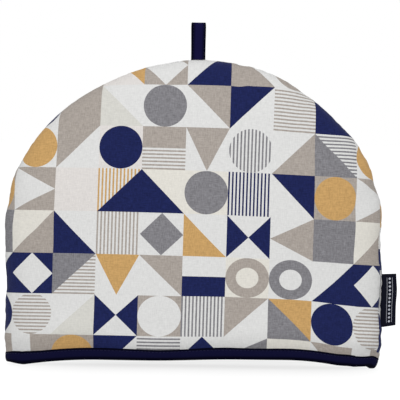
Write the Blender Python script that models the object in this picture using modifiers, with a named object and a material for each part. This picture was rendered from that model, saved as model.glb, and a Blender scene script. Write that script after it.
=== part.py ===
"""Padded tea cosy, standing open on its hem.

Two wadded dome-shaped panels are sewn together round the arch and left open along the bottom. A folded
binding goes once round the open hem, a tape loop is sewn into the seam at the top, and a folded label into
the right side.
Lengths are metres, +Z is up, the front panel faces -Y, and the floor is at Z = 0.
"""

import math
from collections import namedtuple

import bmesh
import bpy
from mathutils import Matrix, Vector

# ---- Driving dimensions ----
COSY_WIDTH = 0.351  # across the padded panels
COSY_HEIGHT = 0.285  # floor to the top of the padding
COSY_DEPTH = 0.090  # across the bound hem, as it stands open
SIDE_HEIGHT = 0.1315  # the sides rise straight this far, and the arch begins
WALL = 0.008  # outer cotton, wadding and inner cotton together
HEM_WALL = 0.0038  # the same wall, pressed flat inside the binding
SEAM_WALL = 0.0026  # and pulled tight by the stitches of the seam
SEAM_GAP = 0.0003  # between any two pieces that touch

BINDING_HEIGHT = 0.0103
BINDING_CLOTH = 0.0012
BINDING_SWELL = 0.0005  # the folded tape stands out this much more halfway up
LIFT_LEFT, LIFT_RIGHT = 0.0050, 0.0071  # the hem's middle stretch hangs this far clear of the floor
LIFT_INNER, LIFT_OUTER = 0.085, 0.152  # and the hem curves down to it between these distances
CORNER_RISE, CORNER_START = 0.0018, 0.163  # past here it turns up again, to the side seams
HEM_PULL = 0.003  # the binding draws the side seams in this far

LOOP_WIDTH = 0.0133
LOOP_TOP = 0.3196
LOOP_X = 0.0009  # the loop sits a little right of the middle
LOOP_LEAN = math.radians(-0.8)
LOOP_EYE = 0.0072  # widest gap between the loop's two layers
LOOP_CLOTH = 0.0013
LOOP_ROOT = 0.0075  # how far its ends run down into the seam
LOOP_NECK = 0.0005  # its layers begin to part this far above the padding
LOOP_CROWN = 0.0056  # height of its rounded top
LOOP_STEPS = 5

LABEL_WIDTH = 0.0487
LABEL_REACH = 0.013  # out from the side of the padding
LABEL_FOOT = 0.0397
LABEL_CLOTH = 0.001
LABEL_ROOT = 0.0072

# ---- Shape of the dome ----
SEAM_INSET = 0.0015  # the stitch line lies this far inside the padded outline
HALF_WIDTH = COSY_WIDTH / 2 - SEAM_INSET
SEAM_TOP = COSY_HEIGHT - SEAM_INSET
ARCH_RISE = SEAM_TOP - SIDE_HEIGHT
ACROSS_POWER, UP_POWER = 1.84, 2.02  # how square the arch is, sideways and upwards
STRAIGHT_SHARE = 0.335  # the straight side's part of the seam from hem to top
MIDDLE_POWER = 1.6  # high for panels that are flat across the middle
BULGE_POWER = 0.6  # low for blunt edges
BULGE = COSY_DEPTH / 2 - HEM_WALL / 2 - SEAM_GAP - BINDING_CLOTH - BINDING_SWELL
TOP_TAPER, TAPER_POWER = 0.45, 1.3  # the panels lean in this much towards the top
BELLY = 0.0012  # the padding's own swell above the binding

# ---- Padding ----
HEM_EDGE = BINDING_CLOTH + SEAM_GAP  # the panels' lower edge, just above the fold of the binding
PRESSED_TO = BINDING_HEIGHT + 0.0008  # the wall is pressed flat up to here
PUFF_HEIGHT = 0.013  # it swells to full thickness over this height
PUFF_FULLNESS = 0.08  # and over this much of the bulge in from the seam
RIM_POWER = 6  # high for unevenness that stays close to the seam

# ---- Mesh steps ----
COLUMNS = 44
DOME_ROWS = 18
HEM_ROWS = (HEM_EDGE, (HEM_EDGE + PRESSED_TO) / 2)

FRONT, BACK = -1, 1
OUTSIDE, INSIDE = 1, -1

# The seam's own unevenness: degrees round from the floor at the right, seen from the middle of the hem.
Swell = namedtuple("Swell", "turn size spread")
SEAM_SWELLS = (
    Swell(turn=17, size=0.0012, spread=6),
    Swell(turn=31, size=-0.0012, spread=3),
    Swell(turn=37, size=-0.0015, spread=3),
    Swell(turn=44, size=-0.0015, spread=2.5),
    Swell(turn=49, size=0.0014, spread=2.5),
    Swell(turn=76, size=0.0022, spread=9),
    Swell(turn=107, size=-0.0011, spread=9),
    Swell(turn=134, size=0.0012, spread=3),
    Swell(turn=143, size=0.0016, spread=3),
    Swell(turn=151, size=0.0008, spread=3),
    Swell(turn=158, size=-0.0008, spread=4),
)

# Soft hollows and ridges in the padding: their centre, measured across and up from the middle of the hem,
# how far they spread each way, and how deep they are.
Fold = namedtuple("Fold", "x z across up depth")
FRONT_FOLDS = (
    Fold(x=-0.118, z=0.196, across=0.020, up=0.024, depth=-0.0020),
    Fold(x=0.104, z=0.206, across=0.024, up=0.018, depth=-0.0022),
    Fold(x=0.036, z=0.250, across=0.012, up=0.016, depth=-0.0016),
    Fold(x=-0.140, z=0.090, across=0.018, up=0.034, depth=-0.0015),
    Fold(x=0.138, z=0.104, across=0.018, up=0.030, depth=-0.0018),
    Fold(x=-0.030, z=0.120, across=0.060, up=0.045, depth=0.0012),
    Fold(x=0.060, z=0.060, across=0.040, up=0.030, depth=-0.0012),
    Fold(x=-0.069, z=0.024, across=0.009, up=0.012, depth=-0.0022),
)
BACK_FOLDS = (
    Fold(x=0.112, z=0.200, across=0.022, up=0.024, depth=-0.0022),
    Fold(x=-0.100, z=0.212, across=0.020, up=0.018, depth=-0.0020),
    Fold(x=-0.138, z=0.110, across=0.018, up=0.030, depth=-0.0018),
    Fold(x=0.020, z=0.140, across=0.055, up=0.040, depth=0.0014),
    Fold(x=-0.050, z=0.055, across=0.036, up=0.026, depth=-0.0014),
    Fold(x=0.090, z=0.032, across=0.012, up=0.014, depth=-0.0018),
)
FOLDS = {FRONT: FRONT_FOLDS, BACK: BACK_FOLDS}

COLOURS = {
    "front_panel": (0.70, 0.68, 0.64),
    "back_panel": (0.70, 0.68, 0.64),
    "hem_binding": (0.008, 0.008, 0.030),
    "hanging_loop": (0.008, 0.008, 0.032),
    "side_label": (0.006, 0.007, 0.022),
}
CLOTH_ROUGHNESS = 0.85


def clear_scene():
    for obj in list(bpy.data.objects):
        bpy.data.objects.remove(obj, do_unlink=True)


def new_collection(name):
    collection = bpy.data.collections.new(name)
    bpy.context.scene.collection.children.link(collection)
    return collection


def smooth(share):
    """0 to 1 with level ends."""
    share = min(max(share, 0.0), 1.0)
    return share * share * (3 - 2 * share)


def bump(distance):
    """1 at the centre, falling smoothly to nothing about two half sizes away."""
    return math.exp(-distance * distance)


# ---- The dome as a surface ----


def seam_point(share):
    """The stitch line of the right half, from the hem's corner at 0 to the top of the arch at 1."""
    if share < STRAIGHT_SHARE:
        return HALF_WIDTH, PRESSED_TO + (SIDE_HEIGHT - PRESSED_TO) * share / STRAIGHT_SHARE
    turn = (share - STRAIGHT_SHARE) / (1 - STRAIGHT_SHARE) * math.pi / 2
    across = max(math.cos(turn), 0.0) ** (2 / ACROSS_POWER)
    up = math.sin(turn) ** (2 / UP_POWER)
    return HALF_WIDTH * across, SIDE_HEIGHT + ARCH_RISE * up


def spread_over_dome(across, up):
    """A place of the square -1..1 by 0..1, moved into the dome: x, z, and its nearness to the seam."""
    disc_x = across * math.sqrt(1 - up * up / 2)
    disc_z = up * math.sqrt(1 - across * across / 2)
    nearness = min(math.hypot(disc_x, disc_z), 1.0)
    share = math.atan2(disc_z, abs(disc_x)) / (math.pi / 2)
    edge_x, edge_z = seam_point(share)
    x = math.copysign(nearness * edge_x, across)
    return x, PRESSED_TO + nearness * (edge_z - PRESSED_TO), nearness


def fullness(x, z):
    """How far inside the seam a place lies: 0 on the stitch line and 1 in the middle. Also its slopes."""
    arch = max(z - SIDE_HEIGHT, 0.0) / ARCH_RISE
    side = abs(x) / HALF_WIDTH
    outline = side**ACROSS_POWER + arch**UP_POWER
    steepness = -MIDDLE_POWER * outline ** (MIDDLE_POWER - 1)
    slope_x = steepness * math.copysign(ACROSS_POWER * side ** (ACROSS_POWER - 1) / HALF_WIDTH, x)
    slope_z = steepness * UP_POWER * arch ** (UP_POWER - 1) / ARCH_RISE
    return max(1 - outline**MIDDLE_POWER, 0.0), slope_x, slope_z


def risen(z):
    """0 where the binding presses the wall, and 1 once the padding has swelled to full above it."""
    return smooth((z - PRESSED_TO) / PUFF_HEIGHT)


def bulge_at(z):
    """How far the middle of the wall stands out from the seam's plane at this height."""
    taper = 1 - TOP_TAPER * (z / SEAM_TOP) ** TAPER_POWER
    return BULGE * taper + BELLY * risen(z)


def half_wall(full, z):
    """Half the wall's thickness: pressed in the binding, pinched at the seam, full everywhere else."""
    padded = SEAM_WALL + (WALL - SEAM_WALL) * (1 - math.exp(-full / PUFF_FULLNESS))
    return (HEM_WALL + (padded - HEM_WALL) * risen(z)) / 2


def fold_depth(x, z, side):
    depth = 0.0
    for fold in FOLDS[side]:
        depth += fold.depth * bump(math.hypot((x - fold.x) / fold.across, (z - fold.z) / fold.up))
    return depth * risen(z)


def seam_swell(x, z):
    turn = math.degrees(math.atan2(z, x))
    return risen(z) * sum(row.size * bump((turn - row.turn) / row.spread) for row in SEAM_SWELLS)


def hem_lift(x, z):
    """The hem hangs clear of the floor but for two feet on each side, and the cloth above takes it up."""
    middle = LIFT_LEFT + (LIFT_RIGHT - LIFT_LEFT) * smooth(x / LIFT_INNER + 0.5)
    fall = min(max((abs(x) - LIFT_INNER) / (LIFT_OUTER - LIFT_INNER), 0.0), 1.0)
    corner = CORNER_RISE * smooth((abs(x) - CORNER_START) / (HALF_WIDTH - CORNER_START))
    return (middle * (1 - fall**2) + corner) * (1 - smooth(z / SIDE_HEIGHT))


def drawn_in(x, z):
    return x * (1 - HEM_PULL / HALF_WIDTH * (1 - risen(z)))


def wall_point(x, z, nearness, side, layer):
    """A point on the outside or the inside of a panel."""
    full, slope_x, slope_z = fullness(x, z)
    height = bulge_at(z)
    tilt = -height * BULGE_POWER
    normal = Vector((tilt * slope_x, full ** (1 - BULGE_POWER), tilt * slope_z)).normalized()
    offset = layer * half_wall(full, z) + fold_depth(x, z, side) * smooth(full / (2 * PUFF_FULLNESS))
    point = Vector((x, height * full**BULGE_POWER, z)) + offset * normal
    outward = Vector((x, 0, max(z - SIDE_HEIGHT, 0.0))).normalized()
    point += outward * seam_swell(x, z) * nearness**RIM_POWER
    y = side * (max(point.y, 0.0) + SEAM_GAP / 2)
    return Vector((drawn_in(point.x, z), y, point.z + hem_lift(x, z)))


def columns_across():
    """The grid's columns, from -1 at the left seam to 1 at the right one, closer together near both."""
    return [math.sin((2 * column / COLUMNS - 1) * math.pi / 2) for column in range(COLUMNS + 1)]


def panel_places():
    """(column, row) of the panel's grid to x, z and nearness. Rows crowd at the hem and the seam."""
    places = {}
    for column, across in enumerate(columns_across()):
        for row, z in enumerate(HEM_ROWS):
            places[column, row] = (across * HALF_WIDTH, z, abs(across))
        for row in range(DOME_ROWS + 1):
            up = (1 - math.cos(row / DOME_ROWS * math.pi)) / 2
            places[column, len(HEM_ROWS) + row] = spread_over_dome(across, up)
    return places


def panel(name, side, collection):
    """Two flat grids, joined round their rims, shaped to the outside and the inside of the padded wall."""
    rows = len(HEM_ROWS) + DOME_ROWS
    places = panel_places()
    shaped = bmesh.new()
    for layer in (OUTSIDE, INSIDE):
        level = Matrix.Translation((0, 0, layer))
        bmesh.ops.create_grid(shaped, x_segments=COLUMNS, y_segments=rows, size=1, matrix=level)
    bmesh.ops.bridge_loops(shaped, edges=[edge for edge in shaped.edges if edge.is_boundary])
    for vert in shaped.verts:
        column = round((vert.co.x + 1) / 2 * COLUMNS)
        row = round((vert.co.y + 1) / 2 * rows)
        layer = OUTSIDE if vert.co.z > 0 else INSIDE
        vert.co = wall_point(*places[column, row], side, layer)
    bmesh.ops.recalc_face_normals(shaped, faces=shaped.faces)
    return add_mesh(name, shaped, collection)


# ---- Binding round the hem ----


def hem_path():
    """The middle of the pressed wall, once round the hem: right along the front, and left along the back."""
    stations = [across * HALF_WIDTH for across in columns_across()]
    path = []
    for side, line in ((FRONT, stations), (BACK, stations[-2:0:-1])):
        for x in line:
            y = side * bulge_at(HEM_EDGE) * fullness(x, HEM_EDGE)[0] ** BULGE_POWER
            path.append(Vector((drawn_in(x, HEM_EDGE), y, hem_lift(x, 0.0))))
    return path


def binding_section():
    """The folded tape, cut across: distance out from the middle of the wall, and height."""
    slot = HEM_WALL / 2 + SEAM_GAP
    face = slot + BINDING_CLOTH
    outer_half = (
        (slot, BINDING_CLOTH),
        (slot, BINDING_HEIGHT),
        (face, BINDING_HEIGHT - BINDING_CLOTH / 4),
        (face + BINDING_SWELL, BINDING_HEIGHT / 2),
        (face, BINDING_CLOTH),
        (face - BINDING_CLOTH, 0.0),
    )
    return outer_half + tuple((-out, up) for out, up in reversed(outer_half))


def closed_line(name, points, dimensions):
    curve = bpy.data.curves.new(name, "CURVE")
    curve.dimensions = dimensions
    curve.fill_mode = "NONE" if dimensions == "2D" else "FULL"
    spline = curve.splines.new("POLY")
    spline.points.add(len(points) - 1)
    for knot, point in zip(spline.points, points):
        knot.co = (*point, 1.0)
    spline.use_cyclic_u = True
    return curve


def binding(name, collection, guides):
    """The tape's section swept once round the hem, upright all the way."""
    outline = [(*point, 0.0) for point in binding_section()]
    section = bpy.data.objects.new("binding_section", closed_line("binding_section", outline, "2D"))
    section.hide_render = True
    section.display_type = "WIRE"
    guides.objects.link(section)
    path = closed_line(name, hem_path(), "3D")
    path.twist_mode = "Z_UP"
    path.bevel_mode = "OBJECT"
    path.bevel_object = section
    swept = bpy.data.objects.new(name, path)
    collection.objects.link(swept)
    return swept


# ---- Pieces sewn into the seam ----


def ribbon(name, path, width, thickness, collection):
    """A strip of cloth: an open line drawn out to its width along X, and given its thickness."""
    strip = bmesh.new()
    line = [strip.verts.new((-width / 2, *point)) for point in path]
    edges = [strip.edges.new(pair) for pair in zip(line, line[1:])]
    drawn = bmesh.ops.extrude_edge_only(strip, edges=edges)
    moved = [item for item in drawn["geom"] if isinstance(item, bmesh.types.BMVert)]
    bmesh.ops.translate(strip, verts=moved, vec=(width, 0, 0))
    bmesh.ops.recalc_face_normals(strip, faces=strip.faces)
    piece = add_mesh(name, strip, collection)
    cloth = piece.modifiers.new("cloth", "SOLIDIFY")
    cloth.thickness = thickness
    cloth.offset = 0
    cloth.use_even_offset = True
    return piece


def loop_path():
    """The loop's line, out of the seam, over the top and down again: (y, height above the stitches)."""
    tail = (LOOP_CLOTH + SEAM_GAP) / 2
    eye = (LOOP_EYE + LOOP_CLOTH) / 2
    crown = LOOP_TOP - SEAM_TOP - LOOP_CLOTH / 2
    shoulder = crown - LOOP_CROWN
    neck = SEAM_INSET + LOOP_NECK
    half = [(tail, -LOOP_ROOT), (tail, neck)]
    for step in range(1, LOOP_STEPS):
        share = step / LOOP_STEPS
        half.append((tail + (eye - tail) * smooth(share), neck + (shoulder - neck) * share))
    for step in range(LOOP_STEPS):
        turn = step / LOOP_STEPS * math.pi / 2
        half.append((eye * math.cos(turn), shoulder + LOOP_CROWN * math.sin(turn)))
    return half + [(0.0, crown)] + [(-y, z) for y, z in reversed(half)]


def label_path():
    """The label's two layers and the fold between them: (y, reach from the padding's side)."""
    half = (LABEL_CLOTH + SEAM_GAP) / 2
    fold = LABEL_REACH - LABEL_CLOTH / 2
    line = [(half, -SEAM_INSET - LABEL_ROOT), (half, 0.0), (half, fold - half)]
    line.append((half * math.cos(math.pi / 4), fold - half + half * math.sin(math.pi / 4)))
    return line + [(0.0, fold)] + [(-y, reach) for y, reach in reversed(line)]


def block(name, size, place, guides):
    """A hidden cutter, a plain box."""
    box = bmesh.new()
    bmesh.ops.create_cube(box, size=1, matrix=Matrix.Translation(place) @ Matrix.Diagonal((*size, 1)))
    cutter = add_mesh(name, box, guides)
    cutter.hide_render = True
    cutter.display_type = "WIRE"
    return cutter


def cut_away(obj, cutter):
    pocket = obj.modifiers.new(cutter.name, "BOOLEAN")
    pocket.operation = "DIFFERENCE"
    pocket.solver = "EXACT"
    pocket.object = cutter


# ---- Assembly ----


def add_mesh(name, shaped, collection):
    mesh = bpy.data.meshes.new(name)
    shaped.to_mesh(mesh)
    shaped.free()
    mesh.shade_smooth()
    obj = bpy.data.objects.new(name, mesh)
    collection.objects.link(obj)
    return obj


def give_cloth(obj):
    material = bpy.data.materials.new(obj.name + "_cloth")
    material.use_nodes = True
    surface = material.node_tree.nodes["Principled BSDF"]
    surface.inputs["Base Color"].default_value = (*COLOURS[obj.name], 1.0)
    surface.inputs["Roughness"].default_value = CLOTH_ROUGHNESS
    surface.inputs["Metallic"].default_value = 0.0
    obj.data.materials.append(material)


def main():
    clear_scene()
    cosy = new_collection("tea_cosy")
    cutters = new_collection("cutters")

    # The label makes the cosy wider on its right, so the panels stand left of the origin by half its reach.
    stand = bpy.data.objects.new("stand", None)
    stand.location.x = -LABEL_REACH / 2
    cosy.objects.link(stand)

    front = panel("front_panel", FRONT, cosy)
    back = panel("back_panel", BACK, cosy)
    hem = binding("hem_binding", cosy, cutters)
    loop = ribbon("hanging_loop", loop_path(), LOOP_WIDTH, LOOP_CLOTH, cosy)
    loop.location = (LOOP_X, 0, SEAM_TOP)
    loop.rotation_euler.y = LOOP_LEAN
    label = ribbon("side_label", label_path(), LABEL_WIDTH, LABEL_CLOTH, cosy)
    label.rotation_euler.y = math.radians(90)
    label.location = (COSY_WIDTH / 2, 0, LABEL_FOOT + LABEL_WIDTH / 2)

    loop_pocket = block(
        "loop_pocket",
        (LOOP_WIDTH + 2 * SEAM_GAP, 2 * LOOP_CLOTH + 3 * SEAM_GAP, 4 * LOOP_ROOT),
        (0, 0, LOOP_ROOT - SEAM_GAP),
        cutters,
    )
    label_pocket = block(
        "label_pocket",
        (LABEL_WIDTH + 2 * SEAM_GAP, 2 * LABEL_CLOTH + 3 * SEAM_GAP, 4 * LABEL_ROOT),
        (0, 0, LABEL_ROOT - SEAM_INSET - SEAM_GAP),
        cutters,
    )
    for pocket, piece in ((loop_pocket, loop), (label_pocket, label)):
        pocket.location = piece.location
        pocket.rotation_euler = piece.rotation_euler
    for side in (front, back):
        cut_away(side, loop_pocket)
        cut_away(side, label_pocket)

    for piece in (front, back, hem, loop, label):
        give_cloth(piece)
    for obj in (front, back, hem, loop, label, loop_pocket, label_pocket, hem.data.bevel_object):
        obj.parent = stand


main()
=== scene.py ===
"""Dresses the padded tea cosy: printed cotton panels, navy binding, hanging loop and side label.

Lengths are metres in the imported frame. +X is the label's side, +Y runs from the front panel to the back one,
and the floor is at Z = 0.
"""

import math
from collections import namedtuple

import bmesh
import bpy
import numpy as np
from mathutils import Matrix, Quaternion, Vector


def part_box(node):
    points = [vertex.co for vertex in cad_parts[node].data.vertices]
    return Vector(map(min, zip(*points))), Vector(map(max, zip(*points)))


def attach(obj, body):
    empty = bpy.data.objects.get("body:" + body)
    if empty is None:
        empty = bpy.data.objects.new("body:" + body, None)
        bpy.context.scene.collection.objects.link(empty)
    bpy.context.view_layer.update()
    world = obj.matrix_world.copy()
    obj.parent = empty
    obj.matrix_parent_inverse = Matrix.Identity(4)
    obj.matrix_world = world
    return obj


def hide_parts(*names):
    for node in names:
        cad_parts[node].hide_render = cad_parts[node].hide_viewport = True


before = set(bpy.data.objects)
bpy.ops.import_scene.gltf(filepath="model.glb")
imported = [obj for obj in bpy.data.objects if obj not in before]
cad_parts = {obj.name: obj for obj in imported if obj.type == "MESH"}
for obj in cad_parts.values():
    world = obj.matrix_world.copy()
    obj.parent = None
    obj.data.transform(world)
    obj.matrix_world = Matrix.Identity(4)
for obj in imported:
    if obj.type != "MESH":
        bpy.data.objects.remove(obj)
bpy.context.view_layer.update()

# ---- Front and back panels ----
# Each is a dome of printed cotton over wadding, with a plain cotton inside. It is cut flat and eased round
# the arch as the two are sewn together. The stitches thin the padding to an edge there and pucker the cloth.

FRONT, BACK = -1, 1
OUTSIDE, INSIDE = 1, -1
hem_low, hem_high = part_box("hem_binding")
CENTRE_X = (hem_low.x + hem_high.x) / 2
COSY_WIDTH, COSY_HEIGHT, COSY_DEPTH = 0.351, 0.285, hem_high.y - hem_low.y
WALL, HEM_WALL, SEAM_WALL = 0.008, 0.0038, 0.0026  # padded, pressed in the binding, pulled tight at the seam
SEAM_GAP = 0.0003  # between any two pieces that touch
BINDING_HEIGHT, BINDING_CLOTH, BINDING_SWELL = 0.0103, 0.0012, 0.0005

# The line of the seam, and how far the panels stand out from it.
SEAM_INSET = 0.0015
HALF_WIDTH = COSY_WIDTH / 2 - SEAM_INSET
SEAM_TOP = COSY_HEIGHT - SEAM_INSET
SIDE_HEIGHT = 0.1315  # the sides rise straight this far, and the arch begins
ARCH_RISE = SEAM_TOP - SIDE_HEIGHT
STRAIGHT_SHARE = 0.335  # the straight side's part of the seam
ACROSS_POWER, UP_POWER = 1.84, 2.02  # how square the arch is, sideways and upwards
MIDDLE_POWER, BULGE_POWER = 1.6, 0.6  # how flat the panels' middles are, and how blunt their edges
BULGE = COSY_DEPTH / 2 - HEM_WALL / 2 - SEAM_GAP - BINDING_CLOTH - BINDING_SWELL
TOP_TAPER, TAPER_POWER = 0.45, 1.3  # they lean in towards the top
BELLY = 0.0017  # and swell out above the binding

# How the hem stands on the floor: on its left foot, and on the folded tip at its right.
LIFT_LEFT, LIFT_RIGHT = 0.0062, 0.0083  # its middle stretch hangs this far clear
LIFT_INNER, LIFT_OUTER_LEFT, LIFT_OUTER_RIGHT = 0.085, 0.158, 0.151  # and it curves down between these
CORNER_RISE, CORNER_START = 0.0016, 0.1575  # the left corner turns up again
LEFT_TUCK, LEFT_TUCK_START = 0.0010, 0.165  # and its fold is tucked in
TOE_LIFT, TOE_START, TOE_FULL = 0.0022, 0.132, 0.154  # the right toe is lifted
TIP_START, TIP_FULL, TIP_HEIGHT = 0.1668, 0.1728, 0.020  # but for its tip
TUCK, TUCK_START = 0.0046, 0.150  # and the fold under the tip is tucked in more
HEM_PULL = 0.0018  # the binding draws both sides in this far

# The padding above the binding, which presses the panels flat.
HEM_EDGE = BINDING_CLOTH + SEAM_GAP
PRESSED_TO = BINDING_HEIGHT + 0.0008
PUFF_HEIGHT, PUFF_FULLNESS = 0.013, 0.08  # it thickens over this height, and over this much of the bulge
ROLL_HEIGHT, ROLL_POWER = 0.016, 2.2  # it rolls out over the binding, steeply at first
RIM_POWER = 6  # high for unevenness that stays close to the seam

# Swells along a line: the place of each, how far it stands out, and its spread.
Swell = namedtuple("Swell", "place size spread")
# Along the seam, in degrees round from the floor at the right, seen from the middle of the hem.
SEAM_SWELLS = [Swell(*row) for row in (
    (4, 0.0008, 4), (6.2, 0.0005, 1), (8.7, -0.0006, 1), (11, 0.0010, 1.2), (17, -0.0012, 6),
    (32, -0.0019, 3), (35.3, -0.0009, 1.3), (37, -0.0013, 3), (46, -0.0026, 3), (47.5, 0.0011, 1.6),
    (52, 0.0004, 3), (52.2, -0.0009, 1.2), (60, -0.0012, 3), (66.3, 0.0006, 1.5), (67, -0.0015, 4),
    (76, 0.0022, 9), (79.8, 0.0005, 0.8), (81.3, -0.0008, 0.9), (95.5, -0.0006, 2.5), (107, -0.0011, 9),
    (125, -0.0007, 30), (134, 0.0012, 3), (139, -0.0007, 1.6), (143, 0.0016, 3), (146.8, 0.0006, 1.6),
    (151, 0.0008, 3), (158, -0.0012, 5), (161.4, 0.0006, 1.8), (167, -0.0005, 1.5),
)]
# Most of the seam is sewn smoothly, and these stretches of it pucker more.
SEAM_EASE = 0.35
TIGHT_STRETCHES = [Swell(*row) for row in ((80, 0.8, 5), (22, 0.5, 14), (172, 0.4, 8))]
# The binding's upper edge isn't sewn quite straight: places across, and how much higher it is there.
EDGE_WAVERS = [Swell(*row) for row in (
    (-0.178, -0.0018, 0.010), (-0.160, 0.0018, 0.014), (-0.100, 0.0010, 0.045), (-0.030, -0.0006, 0.022),
    (0.026, 0.0009, 0.025), (0.090, 0.0005, 0.030), (0.142, 0.0005, 0.010), (0.158, -0.0008, 0.008),
)]

# Soft hollows and ridges in the padding: the centre, the spread each way, and how far it stands out.
Fold = namedtuple("Fold", "x z across up height")
FOLDS = {
    FRONT: [Fold(*row) for row in (
        (-0.118, 0.196, 0.020, 0.024, -0.0020), (0.104, 0.206, 0.024, 0.018, -0.0022),
        (0.036, 0.250, 0.012, 0.016, -0.0016), (-0.140, 0.090, 0.018, 0.034, -0.0015),
        (0.138, 0.104, 0.018, 0.030, -0.0018), (-0.030, 0.120, 0.060, 0.045, 0.0012),
        (0.060, 0.060, 0.040, 0.030, -0.0012), (-0.069, 0.024, 0.009, 0.012, -0.0022),
        (-0.108, 0.030, 0.032, 0.012, 0.0020), (-0.036, 0.030, 0.024, 0.012, -0.0008),
        (0.086, 0.028, 0.030, 0.011, 0.0010), (0.158, 0.026, 0.016, 0.012, 0.0014),
    )],
    BACK: [Fold(*row) for row in (
        (0.112, 0.200, 0.022, 0.024, -0.0022), (-0.100, 0.212, 0.020, 0.018, -0.0020),
        (-0.138, 0.110, 0.018, 0.030, -0.0018), (0.020, 0.140, 0.055, 0.040, 0.0014),
        (-0.050, 0.055, 0.036, 0.026, -0.0014), (0.090, 0.032, 0.012, 0.014, -0.0018),
    )],
}

# The gathers beside a line of stitches are a few waves: how long, how deep, and where they start.
Wave = namedtuple("Wave", "length depth start")
SEAM_WAVES = (Wave(0.0131, 0.00034, 0.7), Wave(0.0088, 0.00030, 2.9), Wave(0.0057, 0.00018, 4.4))
HEM_WAVES = (Wave(0.0190, 0.00044, 1.3), Wave(0.0117, 0.00036, 5.2))
SEAM_SHIFT, HEM_SHIFT = {FRONT: 0.0, BACK: 0.9}, {FRONT: -2.0, BACK: 2.0}  # so that the two panels differ
SEAM_REACH, HEM_REACH = 0.011, 0.010  # the gathers fade out over about this much
LULL_LENGTH, LULL_BEAT = 0.083, 3.7  # and they come and go along the line
STEADY_SHARE, LULL_SHARE = 0.62, 0.38


def smooth(share):
    share = np.clip(share, 0.0, 1.0)
    return share * share * (3 - 2 * share)


def climb(value, start, end):
    """0 up to start, 1 from end on, and a smooth rise between them."""
    return smooth((value - start) / (end - start))


def bump(distance):
    return np.exp(-distance * distance)


def swelling(place, swells):
    return sum(row.size * bump((place - row.place) / row.spread) for row in swells)


def gathers(along, waves, shift):
    """Puckers along a stitched line, strong in some stretches and faint in others."""
    total = sum(
        wave.depth * np.sin(2 * math.pi * along / wave.length + wave.start + shift) for wave in waves
    )
    lull = np.sin(2 * math.pi * along / LULL_LENGTH + shift) * np.cos(LULL_BEAT * along / LULL_LENGTH)
    return total * (STEADY_SHARE + LULL_SHARE * lull)


def turn_at(x, z):
    """Degrees round from the floor at the right, seen from the middle of the hem."""
    return np.degrees(np.arctan2(z, x))


def line_lengths(points):
    """How far along a line each of its points lies."""
    return np.concatenate([[0], np.cumsum(np.linalg.norm(np.diff(points, axis=0), axis=-1))])


def seam_point(share):
    """The stitch line of the right half, from the hem's corner at 0 to the top of the arch at 1."""
    turn = np.clip((share - STRAIGHT_SHARE) / (1 - STRAIGHT_SHARE), 0, 1) * math.pi / 2
    x = HALF_WIDTH * np.maximum(np.cos(turn), 0) ** (2 / ACROSS_POWER)
    arch = SIDE_HEIGHT + ARCH_RISE * np.sin(turn) ** (2 / UP_POWER)
    side = PRESSED_TO + (SIDE_HEIGHT - PRESSED_TO) * share / STRAIGHT_SHARE
    return x, np.where(share < STRAIGHT_SHARE, side, arch)


SEAM_SAMPLES = 600


def seam_length(share):
    """Length of the seam from the hem's corner to this place on it."""
    shares = np.linspace(0, 1, SEAM_SAMPLES)
    return np.interp(share, shares, line_lengths(np.stack(seam_point(shares), axis=-1)))


def spread_over_dome(across, up):
    """A place of the square -1..1 by 0..1 in the dome: x, z, nearness to the seam, and share along it."""
    disc_x = across * np.sqrt(1 - up * up / 2)
    disc_z = up * np.sqrt(1 - across * across / 2)
    nearness = np.minimum(np.hypot(disc_x, disc_z), 1.0)
    share = np.arctan2(disc_z, np.abs(disc_x)) / (math.pi / 2)
    edge_x, edge_z = seam_point(share)
    x = np.copysign(nearness * edge_x, across)
    return x, PRESSED_TO + nearness * (edge_z - PRESSED_TO), nearness, share


def fullness(x, z):
    """How far inside the seam a place lies: 0 on the stitch line and 1 in the middle. Also its slopes."""
    arch = np.maximum(z - SIDE_HEIGHT, 0.0) / ARCH_RISE
    side = np.abs(x) / HALF_WIDTH
    outline = side**ACROSS_POWER + arch**UP_POWER
    steepness = -MIDDLE_POWER * outline ** (MIDDLE_POWER - 1)
    slope_x = steepness * np.copysign(ACROSS_POWER * side ** (ACROSS_POWER - 1) / HALF_WIDTH, x)
    slope_z = steepness * UP_POWER * arch ** (UP_POWER - 1) / ARCH_RISE
    return np.maximum(1 - outline**MIDDLE_POWER, 0.0), slope_x, slope_z


def above_binding(x, z):
    """How far a place lies above the stretch that the binding presses. It is below 0 within that stretch."""
    return z - PRESSED_TO - swelling(x, EDGE_WAVERS)


def risen(x, z):
    """0 where the binding presses the wall, and 1 in the full padding above it."""
    return smooth(above_binding(x, z) / PUFF_HEIGHT)


def rolled_out(x, z):
    """The same for the padding's thickness and its belly, which swell steeply at first."""
    return 1 - (1 - np.clip(above_binding(x, z) / ROLL_HEIGHT, 0.0, 1.0)) ** ROLL_POWER


def bulge_at(x, z):
    taper = 1 - TOP_TAPER * (z / SEAM_TOP) ** TAPER_POWER
    return BULGE * taper + BELLY * rolled_out(x, z)


def dome_height(x, z):
    """How far the middle of the wall stands out from the seam's plane."""
    return bulge_at(x, z) * fullness(x, z)[0] ** BULGE_POWER


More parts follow.
